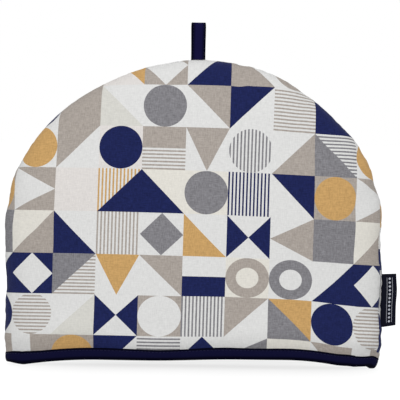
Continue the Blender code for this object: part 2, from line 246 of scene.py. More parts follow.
def hem_lift(x, z):
    """How far the hem hangs clear of the floor. The cloth above takes it up, as far as the arch."""
    middle = LIFT_LEFT + (LIFT_RIGHT - LIFT_LEFT) * smooth(x / LIFT_INNER + 0.5)
    outer = np.where(x < 0, LIFT_OUTER_LEFT, LIFT_OUTER_RIGHT)
    fall = np.clip((np.abs(x) - LIFT_INNER) / (outer - LIFT_INNER), 0.0, 1.0)
    corner = CORNER_RISE * climb(-x, CORNER_START, HALF_WIDTH)
    toe = TOE_LIFT * climb(x, TOE_START, TOE_FULL)
    tip = climb(x, TIP_START, TIP_FULL) * (1 - smooth(z / TIP_HEIGHT))
    return (middle * (1 - fall**2) + corner + toe) * (1 - smooth(z / SIDE_HEIGHT)) - TOE_LIFT * tip


def draw_in_share(x, z):
    return 1 - HEM_PULL / HALF_WIDTH * (1 - risen(x, z))


def tuck_at(x):
    return TUCK * climb(x, TUCK_START, HALF_WIDTH) - LEFT_TUCK * climb(-x, LEFT_TUCK_START, HALF_WIDTH)


def drawn_in(x, z):
    """The binding gathers the sides in towards the middle, and the folds at both ends are tucked in."""
    return x * draw_in_share(x, z) - tuck_at(x) * (1 - np.clip(z / BINDING_HEIGHT, 0, 1))


# Tapes sewn into the seam part the two panels there: their middle, their reach each way, and how far each
# panel is parted from the seam's plane.
Tape = namedtuple("Tape", "x z along_x along_z part")
LOOP_X, LOOP_WIDTH, LOOP_CLOTH = 0.0013, 0.0133, 0.0013
LABEL_FOOT, LABEL_WIDTH, LABEL_CLOTH = 0.0397, 0.0487, 0.0010
OFF_SEAM = 0.004  # the parting reaches this far off the seam
SEWN_IN = (
    Tape(LOOP_X, SEAM_TOP, LOOP_WIDTH / 2, OFF_SEAM, part=0.0019),
    Tape(HALF_WIDTH, LABEL_FOOT + LABEL_WIDTH / 2, OFF_SEAM, LABEL_WIDTH / 2, part=0.0015),
)
PARTING_EDGE, PARTING_FADE = 0.0022, 0.006  # it closes over these, along the seam and inwards


def parted(x, z):
    """How far the seam is held open by the tapes in it."""
    gap = 0.0
    for tape in SEWN_IN:
        beside = np.maximum(np.abs(x - tape.x) - tape.along_x, np.abs(z - tape.z) - tape.along_z)
        gap = gap + tape.part * (1 - smooth(beside / PARTING_EDGE))
    return gap


# Up the right side the back panel's cloth has rolled forward over the seam, and a narrow strip of it shows.
ROLLED_STRIP = (  # degrees round, as for the swells, and the strip's width there
    (3.9, 0.0), (4.4, 0.0034), (12.0, 0.0032), (14.0, 0.0028), (34.0, 0.0028), (36.0, 0.0016),
    (41.0, 0.0012), (43.0, 0.0),
)
ROLLED_SHIFT = (0.150, -0.036)  # where that strip lies on the print, from the cloth beside it
SEAM_GROOVE, SEAM_GROOVE_SPREAD = 0.0004, 0.0006  # the seam shows as a groove along it


def rolled_width(x, z):
    return np.interp(turn_at(x, z), *zip(*ROLLED_STRIP))


def past_rolled_seam(x, z, nearness):
    """How far a place of the front panel lies beyond the rolled seam's stitches, and below 0 inside them."""
    return rolled_width(x, z) - (1 - nearness) * HALF_WIDTH


def cloth_offset(x, z, nearness, share, inwards, side, layer):
    """How far the cloth of one layer lies from the middle of the wall: its thickness, folds and gathers."""
    full, clear = fullness(x, z)[0], risen(x, z)
    padded = SEAM_WALL + (WALL - SEAM_WALL) * (1 - np.exp(-full / PUFF_FULLNESS))
    thickness = HEM_WALL + (padded - HEM_WALL) * rolled_out(x, z)
    folds = sum(
        fold.height * bump(np.hypot((x - fold.x) / fold.across, (z - fold.z) / fold.up))
        for fold in FOLDS[side]
    )
    offset = layer * thickness / 2 + folds * clear * smooth(full / (2 * PUFF_FULLNESS))
    tightness = SEAM_EASE + swelling(turn_at(x, z), TIGHT_STRETCHES)
    puckers = gathers(np.copysign(seam_length(share), x), SEAM_WAVES, SEAM_SHIFT[side]) * tightness
    offset += puckers * np.exp(-inwards / SEAM_REACH) * clear
    if side == FRONT:
        groove = SEAM_GROOVE * bump(past_rolled_seam(x, z, nearness) / SEAM_GROOVE_SPREAD)
        offset -= (rolled_width(x, z) > 0) * groove
    hem_fade = np.exp(-np.maximum(z - PRESSED_TO, 0) / HEM_REACH)
    return offset + gathers(x, HEM_WAVES, HEM_SHIFT[side]) * hem_fade * clear


def wall_points(x, z, nearness, share, side, layer):
    """Points on the outside or the inside of a panel, as an array of x, y, z."""
    full, slope_x, slope_z = fullness(x, z)
    tilt = -bulge_at(x, z) * BULGE_POWER
    normal = np.stack([tilt * slope_x, full ** (1 - BULGE_POWER), tilt * slope_z], axis=-1)
    normal /= np.linalg.norm(normal, axis=-1, keepdims=True)
    middle = dome_height(x, z)
    inwards = (1 - nearness) * np.hypot(x, z) + middle
    offset = cloth_offset(x, z, nearness, share, inwards, side, layer)
    points = np.stack([x, middle, z], axis=-1) + offset[..., None] * normal
    swell = risen(x, z) * swelling(turn_at(x, z), SEAM_SWELLS)
    outward = np.stack([x, 0 * x, np.maximum(z - SIDE_HEIGHT, 0.0)], axis=-1)
    outward /= np.maximum(np.linalg.norm(outward, axis=-1, keepdims=True), 1e-9)
    points += outward * (swell * nearness**RIM_POWER)[..., None]
    parting = parted(x, z) * bump(inwards / PARTING_FADE)
    y = side * (np.maximum(points[..., 1], 0.0) + SEAM_GAP / 2 + parting)
    return np.stack([CENTRE_X + drawn_in(points[..., 0], z), y, points[..., 2] + hem_lift(x, z)], axis=-1)


# The cloth's own grain: it is printed square, but sewn up leaning a little and dropping to the right.
GRAIN_LEAN, GRAIN_TILT, GRAIN_BOW = 0.015, 0.0217, 0.105
PRINT_START = {FRONT: (0.012, 0.019), BACK: (0.131, 0.103)}  # where the cutter laid each panel on the print
LENGTH_STEPS = 60


def cut_flat(x, z, side):
    """Where each place of the panel lies on the flat printed cloth, in metres."""
    level = hem_lift(x, z) - hem_lift(np.maximum(x, -LIFT_INNER), z)  # the print stays level at the left
    level, x, z = level.ravel(), x.ravel(), z.ravel()
    steps = (1 - (1 - np.linspace(0, 1, LENGTH_STEPS)) ** 2)[:, None]
    line_x, line_z = steps * x, HEM_EDGE + steps * (z - HEM_EDGE)
    across = np.hypot(np.diff(line_x, axis=0), np.diff(dome_height(line_x, z), axis=0)).sum(axis=0)
    up = np.hypot(np.diff(line_z, axis=0), np.diff(dome_height(x, line_z), axis=0)).sum(axis=0) + level
    across *= -side * np.sign(x) * draw_in_share(x, z)
    start_across, start_up = PRINT_START[side]
    leaning = across - GRAIN_LEAN * up + start_across
    return np.stack([leaning, up + GRAIN_TILT * across + GRAIN_BOW * across**2 + start_up], axis=-1)


COLUMNS, DOME_ROWS = 220, 170
HEM_ROWS = np.linspace(HEM_EDGE, PRESSED_TO, 5)[:-1]
EDGE_CROWDING = 1.6  # the mesh is finer towards the seam


def panel_places():
    """The panel's grid of places: x, z, nearness to the seam and share along it, each of rows by columns."""
    columns = np.linspace(-1, 1, COLUMNS + 1)
    across = np.sign(columns) * (1 - (1 - np.abs(columns)) ** EDGE_CROWDING)
    rise = np.linspace(0, 1, DOME_ROWS + 1)
    up = 1 - (1 - (rise + rise**2) / 2) ** EDGE_CROWDING
    dome = spread_over_dome(*np.meshgrid(across, up))
    hem_x, hem_z = np.meshgrid(across * HALF_WIDTH, HEM_ROWS)
    hem = (hem_x, hem_z, np.abs(hem_x) / HALF_WIDTH, 0 * hem_x)
    return [np.vstack(pair) for pair in zip(hem, dome)]


def grid_quads(number):
    """The faces of a grid of numbered points."""
    corners = (number[:-1, :-1], number[:-1, 1:], number[1:, 1:], number[1:, :-1])
    return np.stack(corners, axis=-1).reshape(-1, 4)


def link(name, mesh):
    """A new object at the origin, with this mesh."""
    made = bpy.data.objects.new(name, mesh)
    bpy.context.scene.collection.objects.link(made)
    return made


def face_corners(mesh):
    """The number of the point at each corner of each face."""
    corners = np.empty(len(mesh.loops), dtype=np.int32)
    mesh.loops.foreach_get("vertex_index", corners)
    return corners


def mesh_piece(name, points, faces, flat, materials, finish_of_face=None):
    """A finished piece. flat is each point's place on the uncut cloth, in metres, for weave and print."""
    mesh = bpy.data.meshes.new(name)
    mesh.from_pydata(points.tolist(), [], faces)
    shaped = bmesh.new()
    shaped.from_mesh(mesh)
    bmesh.ops.recalc_face_normals(shaped, faces=shaped.faces)
    shaped.to_mesh(mesh)
    shaped.free()
    places = flat[face_corners(mesh)].astype(np.float32)
    mesh.uv_layers.new(name="cloth").data.foreach_set("uv", places.ravel())
    for material in materials:
        mesh.materials.append(material)
    if finish_of_face is not None:
        mesh.polygons.foreach_set("material_index", finish_of_face)
    mesh.shade_smooth()
    return link(name, mesh)


def roll_seam(mesh, rolled):
    """Gives the rolled strip its own part of the print, one whole face at a time so that nothing smears."""
    corners = face_corners(mesh)
    places = np.empty(2 * len(corners), dtype=np.float32)
    mesh.uv_layers["cloth"].data.foreach_get("uv", places)
    whole = rolled[corners].reshape(-1, 4).all(axis=1).repeat(4)
    places = places.reshape(-1, 2) + whole[:, None] * ROLLED_SHIFT
    mesh.uv_layers["cloth"].data.foreach_set("uv", places.astype(np.float32).ravel())


def padded_panel(name, side, materials):
    """The outside and the inside of the wall as two grids, joined round their rims."""
    x, z, nearness, share = panel_places()
    layers = [wall_points(x, z, nearness, share, side, layer).reshape(-1, 3) for layer in (OUTSIDE, INSIDE)]
    number = np.arange(x.size).reshape(x.shape)
    quads = grid_quads(number)
    rim = np.concatenate([number[0, :-1], number[:-1, -1], number[-1, :0:-1], number[:0:-1, 0]])
    beside = np.roll(rim, -1)
    edge = np.stack([rim, beside, beside + x.size, rim + x.size], axis=-1)
    faces = np.concatenate([quads, quads[:, ::-1] + x.size, edge])
    finish = np.repeat(np.array([0, 1, 0], dtype=np.int32), [len(quads), len(quads), len(edge)])
    flat = np.tile(cut_flat(x, z, side), (2, 1))
    panel = mesh_piece(name, np.concatenate(layers), faces.tolist(), flat, materials, finish)
    if side == FRONT:
        roll_seam(panel.data, np.tile(past_rolled_seam(x, z, nearness).ravel() > 0, 2))
    return panel


def paint(red, green, blue):
    """A colour as it looks on a screen, 0 to 255, to the linear values that a shader takes."""
    shares = [value / 255 for value in (red, green, blue)]
    return tuple(share / 12.92 if share < 0.04045 else ((share + 0.055) / 1.055) ** 2.4 for share in shares)


def node(tree, kind, *sources, pick=0, **settings):
    """Adds a node, feeds its inputs in order from outputs or plain values, and gives one of its outputs."""
    made = tree.nodes.new(kind)
    for name, value in settings.items():
        setattr(made, name, value)
    for socket, source in zip(made.inputs, sources):
        if isinstance(source, bpy.types.NodeSocket):
            tree.links.new(source, socket)
        elif source is not None:
            socket.default_value = source
    return made.outputs[pick]


def maths(tree, operation, *sources):
    return node(tree, "ShaderNodeMath", *sources, operation=operation)


def apart(tree, place):
    """The first two parts of a place."""
    return node(tree, "ShaderNodeSeparateXYZ", place).node.outputs[:2]


def mix_paint(tree, share, *colours):
    """Blends two colours, each given as an output or as three numbers."""
    colours = [(*colour, 1.0) if isinstance(colour, tuple) else colour for colour in colours]
    unused = [None] * 5  # the node's sockets for numbers and vectors
    return node(tree, "ShaderNodeMix", share, *unused, *colours, pick=2, data_type="RGBA")


def matt_finish(name, roughness, sheen, sheen_roughness, tint, glint):
    """A material with its fixed numbers on the shader itself. Gives the material, tree and shader."""
    material = bpy.data.materials.new(name)
    material.use_nodes = True
    surface = material.node_tree.nodes["Principled BSDF"]
    surface.inputs["Roughness"].default_value = roughness
    surface.inputs["Sheen Weight"].default_value = sheen
    surface.inputs["Sheen Roughness"].default_value = sheen_roughness
    surface.inputs["Sheen Tint"].default_value = (*tint, 1.0)
    surface.inputs["Specular IOR Level"].default_value = glint
    return material, material.node_tree, surface


def cloth_place(tree):
    """The place on the flat cloth, in metres: a vector, and its two directions apart."""
    place = node(tree, "ShaderNodeUVMap", uv_map="cloth")
    return place, *apart(tree, place)


def dress(tree, surface, colour, raised, depth, strength):
    """Gives a shader its colour, and bumps as deep as this."""
    tree.links.new(colour, surface.inputs["Base Color"])
    tree.links.new(node(tree, "ShaderNodeBump", strength, depth, None, raised), surface.inputs["Normal"])


def ribs(tree, place, pitch):
    """A smooth wave, from -1 to 1 and back over each pitch."""
    return maths(tree, "SINE", maths(tree, "MULTIPLY", place, 2 * math.pi / pitch))


def eased_range(tree, value, *ends):
    """From one range to another: where the first begins and ends, and then the second."""
    return node(tree, "ShaderNodeMapRange", value, *ends, interpolation_type="SMOOTHSTEP")


def plain_weave(tree, across, up, thread):
    """Threads over and under one another."""
    return maths(tree, "MULTIPLY", ribs(tree, across, 2 * thread), ribs(tree, up, 2 * thread))


def grain(tree, place, scale, detail=2.0, roughness=0.6):
    """Soft noise about one half, with this many patches to the metre."""
    return node(tree, "ShaderNodeTexNoise", place, None, scale, detail, roughness)


def slubs(tree, place, crosswise, lengthwise):
    """Uneven threads: streaks that run both ways, about one half, with this many to the metre of each."""
    streaks = [
        grain(tree, node(tree, "ShaderNodeVectorMath", place, scale, operation="MULTIPLY"), 1.0)
        for scale in ((crosswise, lengthwise, 1.0), (lengthwise, crosswise, 1.0))
    ]
    return maths(tree, "MULTIPLY", maths(tree, "ADD", *streaks), 0.5)


LOOKUP_SLOTS = 32


def lookup(tree, index, rows):
    """One row of four numbers for each whole index. Gives the colour and alpha outputs."""
    share = maths(tree, "DIVIDE", maths(tree, "ADD", index, 0.5), LOOKUP_SLOTS)
    made = node(tree, "ShaderNodeValToRGB", share).node
    stops = made.color_ramp
    stops.interpolation = "CONSTANT"
    stops.elements.remove(stops.elements[1])
    stops.elements[0].position = 0.0
    stops.elements[0].color = rows[0]
    for number, row in enumerate(rows[1:], start=1):
        stops.elements.new(number / LOOKUP_SLOTS).color = row
    return made.outputs


# The print is a repeat of square tiles. A tile's four letters are its shape, the shape's finish, the finish
# of the ground behind it, and how many quarter turns to the left the shape is given.
TILE = 0.040
TILES = """
    /nw2 /tw1 otw0 .wG0 ^gw0 hnt1 /mp3 dwt0
    /tw3 /nw0 .wT0 /nc1 Onw0 .wt0 /sw1 ogw0
    ^tw2 oGw0 /tw2 /gA1 omw0 /tw0 onp0 hTt2
    ogc0 .wN0 /nw3 omt0 ^wt3 .wp0 /nM2 /nc1
    /mw1 xnw1 ^tw1 .wg0 /tc2 /nw1 .wU0 dgw0
    hwn0 Otc0 Ogw0 /nw2 dwn0 /gT0 ^mw2 /tw3
    .wG0 /tw0 /mg3 onw0 oTw0 /sw2 xnw1 owt0
    dnw0 ^gw1 .wc0 /wt1 htw3 omt0 /nw0 .wA0
"""
SHAPES = ".oO/dxh^"  # plain, disc, ring, half along the diagonal, diamond, hourglass, half, roof
RING_HOLE = 0.52
PINSTRIPES, PINSTRIPE_SHARE = 12, 0.46  # to a tile, and the line's part of each
FLAT, UPRIGHT, LEVEL = 1.0, 0.5, 0.0  # filled flat, or with pinstripes one way or the other
OFF_WHITE = paint(210, 210, 209)
NAVY, TAUPE = paint(27, 34, 78), paint(160, 152, 145)
GREY, MUSTARD = paint(123, 122, 126), paint(189, 151, 97)
STONE, CREAM, BLUSH = paint(201, 200, 194), paint(213, 210, 202), paint(210, 206, 203)
FINISHES = {
    letter: (*ink, fill)
    for letters, fill, inks in (
        ("wntgmscp", FLAT, (OFF_WHITE, NAVY, TAUPE, GREY, MUSTARD, STONE, CREAM, BLUSH)),
        ("NUGM", UPRIGHT, (NAVY, TAUPE, GREY, MUSTARD)),
        ("TA", LEVEL, (TAUPE, GREY)),
    )
    for letter, ink in zip(letters, inks)
}
CODE_STEP = 1 / 16  # shapes and finishes are numbered in sixteenths in the lookup, turns in quarters
SAME = 0.4  # numbers that stand for whole ones are the same if they differ by less


def tile_rows():
    """The repeat's tiles from its lowest row up, each as four numbers from 0 to 1."""
    lines = [line.split() for line in TILES.split("\n") if line.strip()]
    order = (SHAPES, "".join(FINISHES), "".join(FINISHES))
    return [
        [(*(names.index(letter) * CODE_STEP for names, letter in zip(order, tile)), int(tile[3]) / 4)
         for tile in line]
        for line in reversed(lines)
    ]


def chosen_tile(tree, column, row):
    """The chart's four numbers for the tile in this column and row of the cloth."""
    rows = tile_rows()
    side = len(rows)
    half = side // 2
    column = maths(tree, "FLOORED_MODULO", column, side)
    row = maths(tree, "FLOORED_MODULO", row, side)
    index = maths(tree, "MULTIPLY_ADD", maths(tree, "FLOORED_MODULO", row, half), side, column)
    low_colour, low_alpha = lookup(tree, index, sum(rows[:half], []))
    high_colour, high_alpha = lookup(tree, index, sum(rows[half:], []))
    is_high = maths(tree, "GREATER_THAN", row, half - 0.5)
    codes = node(tree, "ShaderNodeSeparateColor", mix_paint(tree, is_high, low_colour, high_colour)).node
    turns = maths(tree, "MULTIPLY", node(tree, "ShaderNodeMix", is_high, None, low_alpha, high_alpha), 4)
    return *(maths(tree, "DIVIDE", code, CODE_STEP) for code in codes.outputs), turns


def shape_mask(tree, local, shape, turns):
    """1 inside the tile's shape. Each shape has a measure that is above 0 inside it."""
    angle = maths(tree, "MULTIPLY", turns, -math.pi / 2)
    turned = node(tree, "ShaderNodeVectorRotate", local, None, None, angle, rotation_type="Z_AXIS")
    across, up = apart(tree, turned)
    aside, above = maths(tree, "ABSOLUTE", across), maths(tree, "ABSOLUTE", up)
    squares = maths(tree, "ADD", maths(tree, "MULTIPLY", across, across), maths(tree, "MULTIPLY", up, up))
    reach = maths(tree, "SQRT", squares)
    in_disc = maths(tree, "SUBTRACT", 1.0, reach)
    measures = {
        "o": in_disc,
        "O": maths(tree, "MINIMUM", in_disc, maths(tree, "SUBTRACT", reach, RING_HOLE)),
        "/": maths(tree, "SUBTRACT", up, across),
        "d": maths(tree, "SUBTRACT", 1.0, maths(tree, "ADD", aside, above)),
        "x": maths(tree, "SUBTRACT", above, aside),
        "h": up,
        "^": maths(tree, "SUBTRACT", maths(tree, "MULTIPLY_ADD", up, -0.5, 0.5), aside),
    }
    total = 0.0
    for letter, measure in measures.items():
        is_this = maths(tree, "COMPARE", shape, float(SHAPES.index(letter)), SAME)
        total = maths(tree, "MULTIPLY_ADD", is_this, measure, total)
    return maths(tree, "GREATER_THAN", total, 0.0)


def pinstripe(tree, tiles_along):
    """1 on the lines and 0 between them."""
    share = maths(tree, "FRACT", maths(tree, "MULTIPLY", tiles_along, PINSTRIPES))
    return maths(tree, "LESS_THAN", share, PINSTRIPE_SHARE)


def print_colours(tree, place):
    """The print's colour at each place of the cloth."""
    tiles = node(tree, "ShaderNodeVectorMath", place, (1 / TILE, 1 / TILE, 0.0), operation="MULTIPLY")
    tile = node(tree, "ShaderNodeVectorMath", tiles, operation="FLOOR")
    within = node(tree, "ShaderNodeVectorMath", tiles, tile, operation="SUBTRACT")
    local = node(tree, "ShaderNodeVectorMath", within, (2, 2, 0), (-1, -1, 0), operation="MULTIPLY_ADD")
    shape, figure, ground, turns = chosen_tile(tree, *apart(tree, tile))
    mask = shape_mask(tree, local, shape, turns)
    finish = maths(tree, "MULTIPLY_ADD", mask, maths(tree, "SUBTRACT", figure, ground), ground)
    colour, fill = lookup(tree, maths(tree, "ROUND", finish), list(FINISHES.values()))
    upright_lines, level_lines = (pinstripe(tree, along) for along in apart(tree, tiles))
    is_upright = maths(tree, "GREATER_THAN", fill, (LEVEL + UPRIGHT) / 2)
    is_flat = maths(tree, "GREATER_THAN", fill, (UPRIGHT + FLAT) / 2)
    lines = node(tree, "ShaderNodeMix", is_upright, None, level_lines, upright_lines)
    return mix_paint(tree, maths(tree, "MAXIMUM", is_flat, lines), OFF_WHITE, colour)


# How strongly the threads show through a print, from the palest to the darkest.
PALE, DARK, PALE_HEATHER, DARK_HEATHER = 0.50, 0.88, 0.50, 1.95
MOTTLE, MOTTLE_SIZE = 0.147, 0.004  # how unevenly the dye has taken, in patches of about this size
WEAVE_STRENGTH = 0.6


def printed_cotton():
    material, tree, surface = matt_finish(
        "printed_cotton", roughness=0.88, sheen=0.08, sheen_roughness=0.5, tint=OFF_WHITE, glint=0.06,
    )
    place, across, up = cloth_place(tree)
    colour = print_colours(tree, place)
    patches = maths(tree, "SUBTRACT", grain(tree, place, 1 / MOTTLE_SIZE), 0.5)
    threads = maths(tree, "SUBTRACT", slubs(tree, place, crosswise=1050.0, lengthwise=190.0), 0.5)
    uneven = maths(tree, "ADD", threads, maths(tree, "MULTIPLY", patches, MOTTLE))
    darkness = maths(tree, "SUBTRACT", 1.0, node(tree, "ShaderNodeRGBToBW", colour))
    heather = eased_range(tree, darkness, PALE, DARK, PALE_HEATHER, DARK_HEATHER)
    factor = maths(tree, "MULTIPLY_ADD", uneven, heather, 1.0)
    shaded = node(tree, "ShaderNodeVectorMath", colour, None, None, factor, operation="SCALE")
    weave = plain_weave(tree, across, up, thread=0.00045)
    dress(tree, surface, shaded, weave, depth=0.00012, strength=WEAVE_STRENGTH)
    return material


def plain_cotton():
    """The unprinted cotton that faces the teapot."""
    material, tree, surface = matt_finish(
        "plain_cotton", roughness=0.88, sheen=0.1, sheen_roughness=0.5, tint=OFF_WHITE, glint=0.08,
    )
    place, across, up = cloth_place(tree)
    threads = slubs(tree, place, crosswise=1500.0, lengthwise=160.0)
    colour = mix_paint(tree, threads, paint(198, 194, 184), paint(222, 219, 211))
    weave = plain_weave(tree, across, up, thread=0.00055)
    dress(tree, surface, colour, weave, depth=0.00015, strength=WEAVE_STRENGTH)
    return material


panel_cloths = (printed_cotton(), plain_cotton())
for panel_name, node_name, panel_side in (
    ("wadded_front", "front_panel", FRONT),
    ("wadded_back", "back_panel", BACK),
):
    panel = padded_panel(panel_name, panel_side, panel_cloths)
    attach(panel, "root")
    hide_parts(node_name)


# ---- Hem binding ----
# One strip of navy cotton, folded over the pressed edges of both panels and run once round the open hem. Its
# turned-in edges are stitched down, and it is pulled tight round the two side seams.

STITCH_LINE = BINDING_HEIGHT - 0.0021
BINDING_SLOT = HEM_WALL / 2 + SEAM_GAP  # out from the middle of the wall, to the cloth's inside
BINDING_FACE = BINDING_SLOT + BINDING_CLOTH  # and to its outside
HEM_STEPS, HEM_SAMPLES = 720, 4001
HEM_EASE = 2  # rounds of smoothing at the tight turns over the side seams
DRAWN_LEFT, DRAWN_RIGHT, DRAWN_FROM = 0.0010, 0.0018, 0.93  # its upper edge is drawn in round the seams
PINCH, PINCH_REACH = 0.0007, 0.010  # and it lies flatter there

# The folded tape cut across, from inside the slot up, over the turned edge, and down to the fold underneath:
# out from the middle of the wall, up from the floor, and how freely the cloth puckers there.
FoldPoint = namedtuple("FoldPoint", "out up loose")
BINDING_FOLD = tuple(FoldPoint(*row) for row in (
    (BINDING_SLOT, BINDING_CLOTH, 0.0),
    (BINDING_SLOT, BINDING_HEIGHT / 2, 0.0),
    (BINDING_SLOT, BINDING_HEIGHT - 0.0004, 0.0),
    (BINDING_SLOT + 0.0005, BINDING_HEIGHT + 0.0001, 0.3),
    (BINDING_FACE, BINDING_HEIGHT - 0.0001, 0.5),
    (BINDING_FACE + 0.0002, BINDING_HEIGHT - 0.0009, 0.4),
    (BINDING_FACE - 0.0001, STITCH_LINE, 0.0),
    (BINDING_FACE + 0.0005, STITCH_LINE - 0.0013, 0.7),
    (BINDING_FACE + 0.0008, STITCH_LINE - 0.0030, 1.0),
    (BINDING_FACE + 0.0006, STITCH_LINE - 0.0048, 1.0),
    (BINDING_FACE + 0.0001, STITCH_LINE - 0.0064, 0.8),
    (BINDING_FACE - 0.0008, 0.0005, 0.4),
    (BINDING_FACE - 0.0018, 0.0, 0.0),
    (0.0, 0.0, 0.0),
))


def hem_path():
    """Once round the hem, in the middle of the pressed wall: even points, their lengths, and the whole."""
    places = np.linspace(-1, 1, HEM_SAMPLES)
    x = HALF_WIDTH * np.sign(places) * (1 - (1 - np.abs(places)) ** EDGE_CROWDING)
    y = dome_height(x, HEM_EDGE + 0 * x)
    ring = np.concatenate([np.stack([x, -y], axis=-1), np.stack([x, y], axis=-1)[-2:0:-1]])
    closed = np.concatenate([ring, ring[:1]])
    lengths = line_lengths(closed)
    even = np.linspace(0, lengths[-1], HEM_STEPS, endpoint=False)
    line = np.stack([np.interp(even, lengths, closed[:, axis]) for axis in (0, 1)], axis=-1)
    for _ in range(HEM_EASE):
        line = (np.roll(line, 1, axis=0) + 2 * line + np.roll(line, -1, axis=0)) / 4
    return line, even, float(even[-1] + even[1])


def guide_line(name, points, closed, **numbers):
    """A bare line of edges for Geometry Nodes to follow, with numbers kept on its points."""
    count = len(points)
    pairs = [(place, (place + 1) % count) for place in range(count if closed else count - 1)]
    mesh = bpy.data.meshes.new(name)
    mesh.from_pydata([tuple(map(float, point)) for point in points], pairs, [])
    for label, values in numbers.items():
        kept = mesh.attributes.new(label, "FLOAT", "POINT")
        kept.data.foreach_set("value", np.asarray(values, dtype=np.float32))
    return link(name, mesh)


def node_tree(name, **inputs):
    """A Geometry Nodes tree with these named inputs. Gives the tree and the inputs' outputs inside it."""
    tree = bpy.data.node_groups.new(name, "GeometryNodeTree")
    for label, kind in inputs.items():
        tree.interface.new_socket(label, in_out="INPUT", socket_type="NodeSocket" + kind)
    tree.interface.new_socket("made", in_out="OUTPUT", socket_type="NodeSocketGeometry")
    return tree, tree.nodes.new("NodeGroupInput").outputs[: len(inputs)]


def end_tree(tree, made, material):
    """Closes a tree: instances made real, shaded smooth and given their cloth or thread."""
    real = node(tree, "GeometryNodeRealizeInstances", made)
    rounded = node(tree, "GeometryNodeSetShadeSmooth", real)
    finished = node(tree, "GeometryNodeSetMaterial", rounded, None, material)
    tree.links.new(finished, tree.nodes.new("NodeGroupOutput").inputs[0])


def grown(name, guide, tree, **values):
    """What a tree makes of a guide line, as a plain mesh object. The guide is removed."""
    modifier = guide.modifiers.new(tree.name, "NODES")
    modifier.node_group = tree
    for item in tree.interface.items_tree:
        if item.name in values:
            modifier[item.identifier] = values[item.name]
    bpy.context.view_layer.update()
    shaped = guide.evaluated_get(bpy.context.evaluated_depsgraph_get())
    mesh = bpy.data.meshes.new_from_object(shaped)
    mesh.name = name
    bpy.data.objects.remove(guide)
    return link(name, mesh)


def tape_tree():
    """A tape's section drawn along a line and kept upright. Its loose cloth is puckered in and out, its low
    part is tucked in, and its upper edge is drawn in and wavers.
    """
    tree, (line, section, pucker_depth, puckers_per_metre, cloth) = node_tree(
        "tape_along_a_line",
        line="Geometry", section="Object", pucker_depth="Float", puckers_per_metre="Float", cloth="Material",
    )
    loose, pinch, tuck, drawn, waver, low = (
        node(tree, "GeometryNodeInputNamedAttribute", label, data_type="FLOAT")
        for label in ("loose", "pinch", "tuck", "drawn", "waver", "low")
    )
    path = node(tree, "GeometryNodeSetCurveNormal", node(tree, "GeometryNodeMeshToCurve", line), mode="Z_UP")
    outline = node(tree, "GeometryNodeMeshToCurve", node(tree, "GeometryNodeObjectInfo", section, pick=4))
    swept = node(tree, "GeometryNodeFlipFaces", node(tree, "GeometryNodeCurveToMesh", path, outline))
    puckers = grain(tree, node(tree, "GeometryNodeInputPosition"), puckers_per_metre, 1.5, 0.5)
    wave = maths(tree, "MULTIPLY", maths(tree, "SUBTRACT", 0.5, puckers), pucker_depth)
    push = maths(tree, "MULTIPLY", maths(tree, "SUBTRACT", wave, pinch), loose)
    outwards = node(tree, "GeometryNodeInputNormal")
    away = node(tree, "ShaderNodeVectorMath", outwards, None, None, push, operation="SCALE")
    high = maths(tree, "SUBTRACT", 1.0, low)
    inwards = maths(tree, "MULTIPLY_ADD", tuck, low, maths(tree, "MULTIPLY", drawn, high))
    across, up = maths(tree, "MULTIPLY", inwards, -1.0), maths(tree, "MULTIPLY", waver, high)
    moved = node(tree, "ShaderNodeVectorMath", away, node(tree, "ShaderNodeCombineXYZ", across, None, up))
    end_tree(tree, node(tree, "GeometryNodeSetPosition", swept, None, None, moved), cloth)
    return tree


BEAD_SEGMENTS, BEAD_RINGS, STITCH_SEED = 8, 5, 4


def stitch_tree():
    """Short rounded threads laid end to end along a line, each turned a little out of it."""
    tree, (line, stitch_length, gap, thread, unevenness, cloth) = node_tree(
        "running_stitches",
        line="Geometry", stitch_length="Float", gap="Float", thread="Float", unevenness="Float",
        cloth="Material",
    )
    path = node(tree, "GeometryNodeMeshToCurve", line)
    spacing = maths(tree, "ADD", stitch_length, gap)
    steps = node(tree, "GeometryNodeResampleCurve", path, None, None, spacing, mode="LENGTH")
    bead = node(tree, "GeometryNodeMeshUVSphere", BEAD_SEGMENTS, BEAD_RINGS, 0.5)
    least = maths(tree, "MULTIPLY", unevenness, -1.0)
    slack = node(tree, "FunctionNodeRandomValue", least, unevenness, data_type="FLOAT_VECTOR")
    slack.node.inputs["Seed"].default_value = STITCH_SEED
    turned = node(tree, "ShaderNodeVectorMath", node(tree, "GeometryNodeInputTangent"), slack)
    facing = node(tree, "FunctionNodeAlignRotationToVector", None, None, turned, axis="X")
    size = node(tree, "ShaderNodeCombineXYZ", stitch_length, thread, thread)
    laid = node(tree, "GeometryNodeInstanceOnPoints", steps, None, bead, None, None, facing, size)
    end_tree(tree, laid, cloth)
    return tree


def wrap_length(mesh, whole):
    """The map of a tape swept along a closed line, from the lengths kept on its points. A face that closes
    the ring gets the whole length at its far side, where it would run back to 0.
    """
    corners = face_corners(mesh).reshape(-1, 4)
    places = np.empty((len(corners), 4, 2), dtype=np.float32)
    for column, label in enumerate(("along", "round")):
        lengths = np.empty(len(mesh.vertices), dtype=np.float32)
        mesh.attributes[label].data.foreach_get("value", lengths)
        values = lengths[corners]
        closing = np.ptp(values, axis=1, keepdims=True) > whole[column] / 2
        places[:, :, column] = values + whole[column] * (closing & (values < whole[column] / 2))
    mesh.uv_layers.new(name="cloth").data.foreach_set("uv", places.ravel())


# The deepest navy is the colour of the painted shade along the tapes' folds and edges.
NAVY_CLOTH, RUBBED_NAVY, SHADED_NAVY = paint(11, 11, 38), paint(17, 17, 48), paint(2, 2, 12)
TWILL = 0.0007
SLUB_SHARE = 0.7  # the rest of the rubbing comes in soft clouds


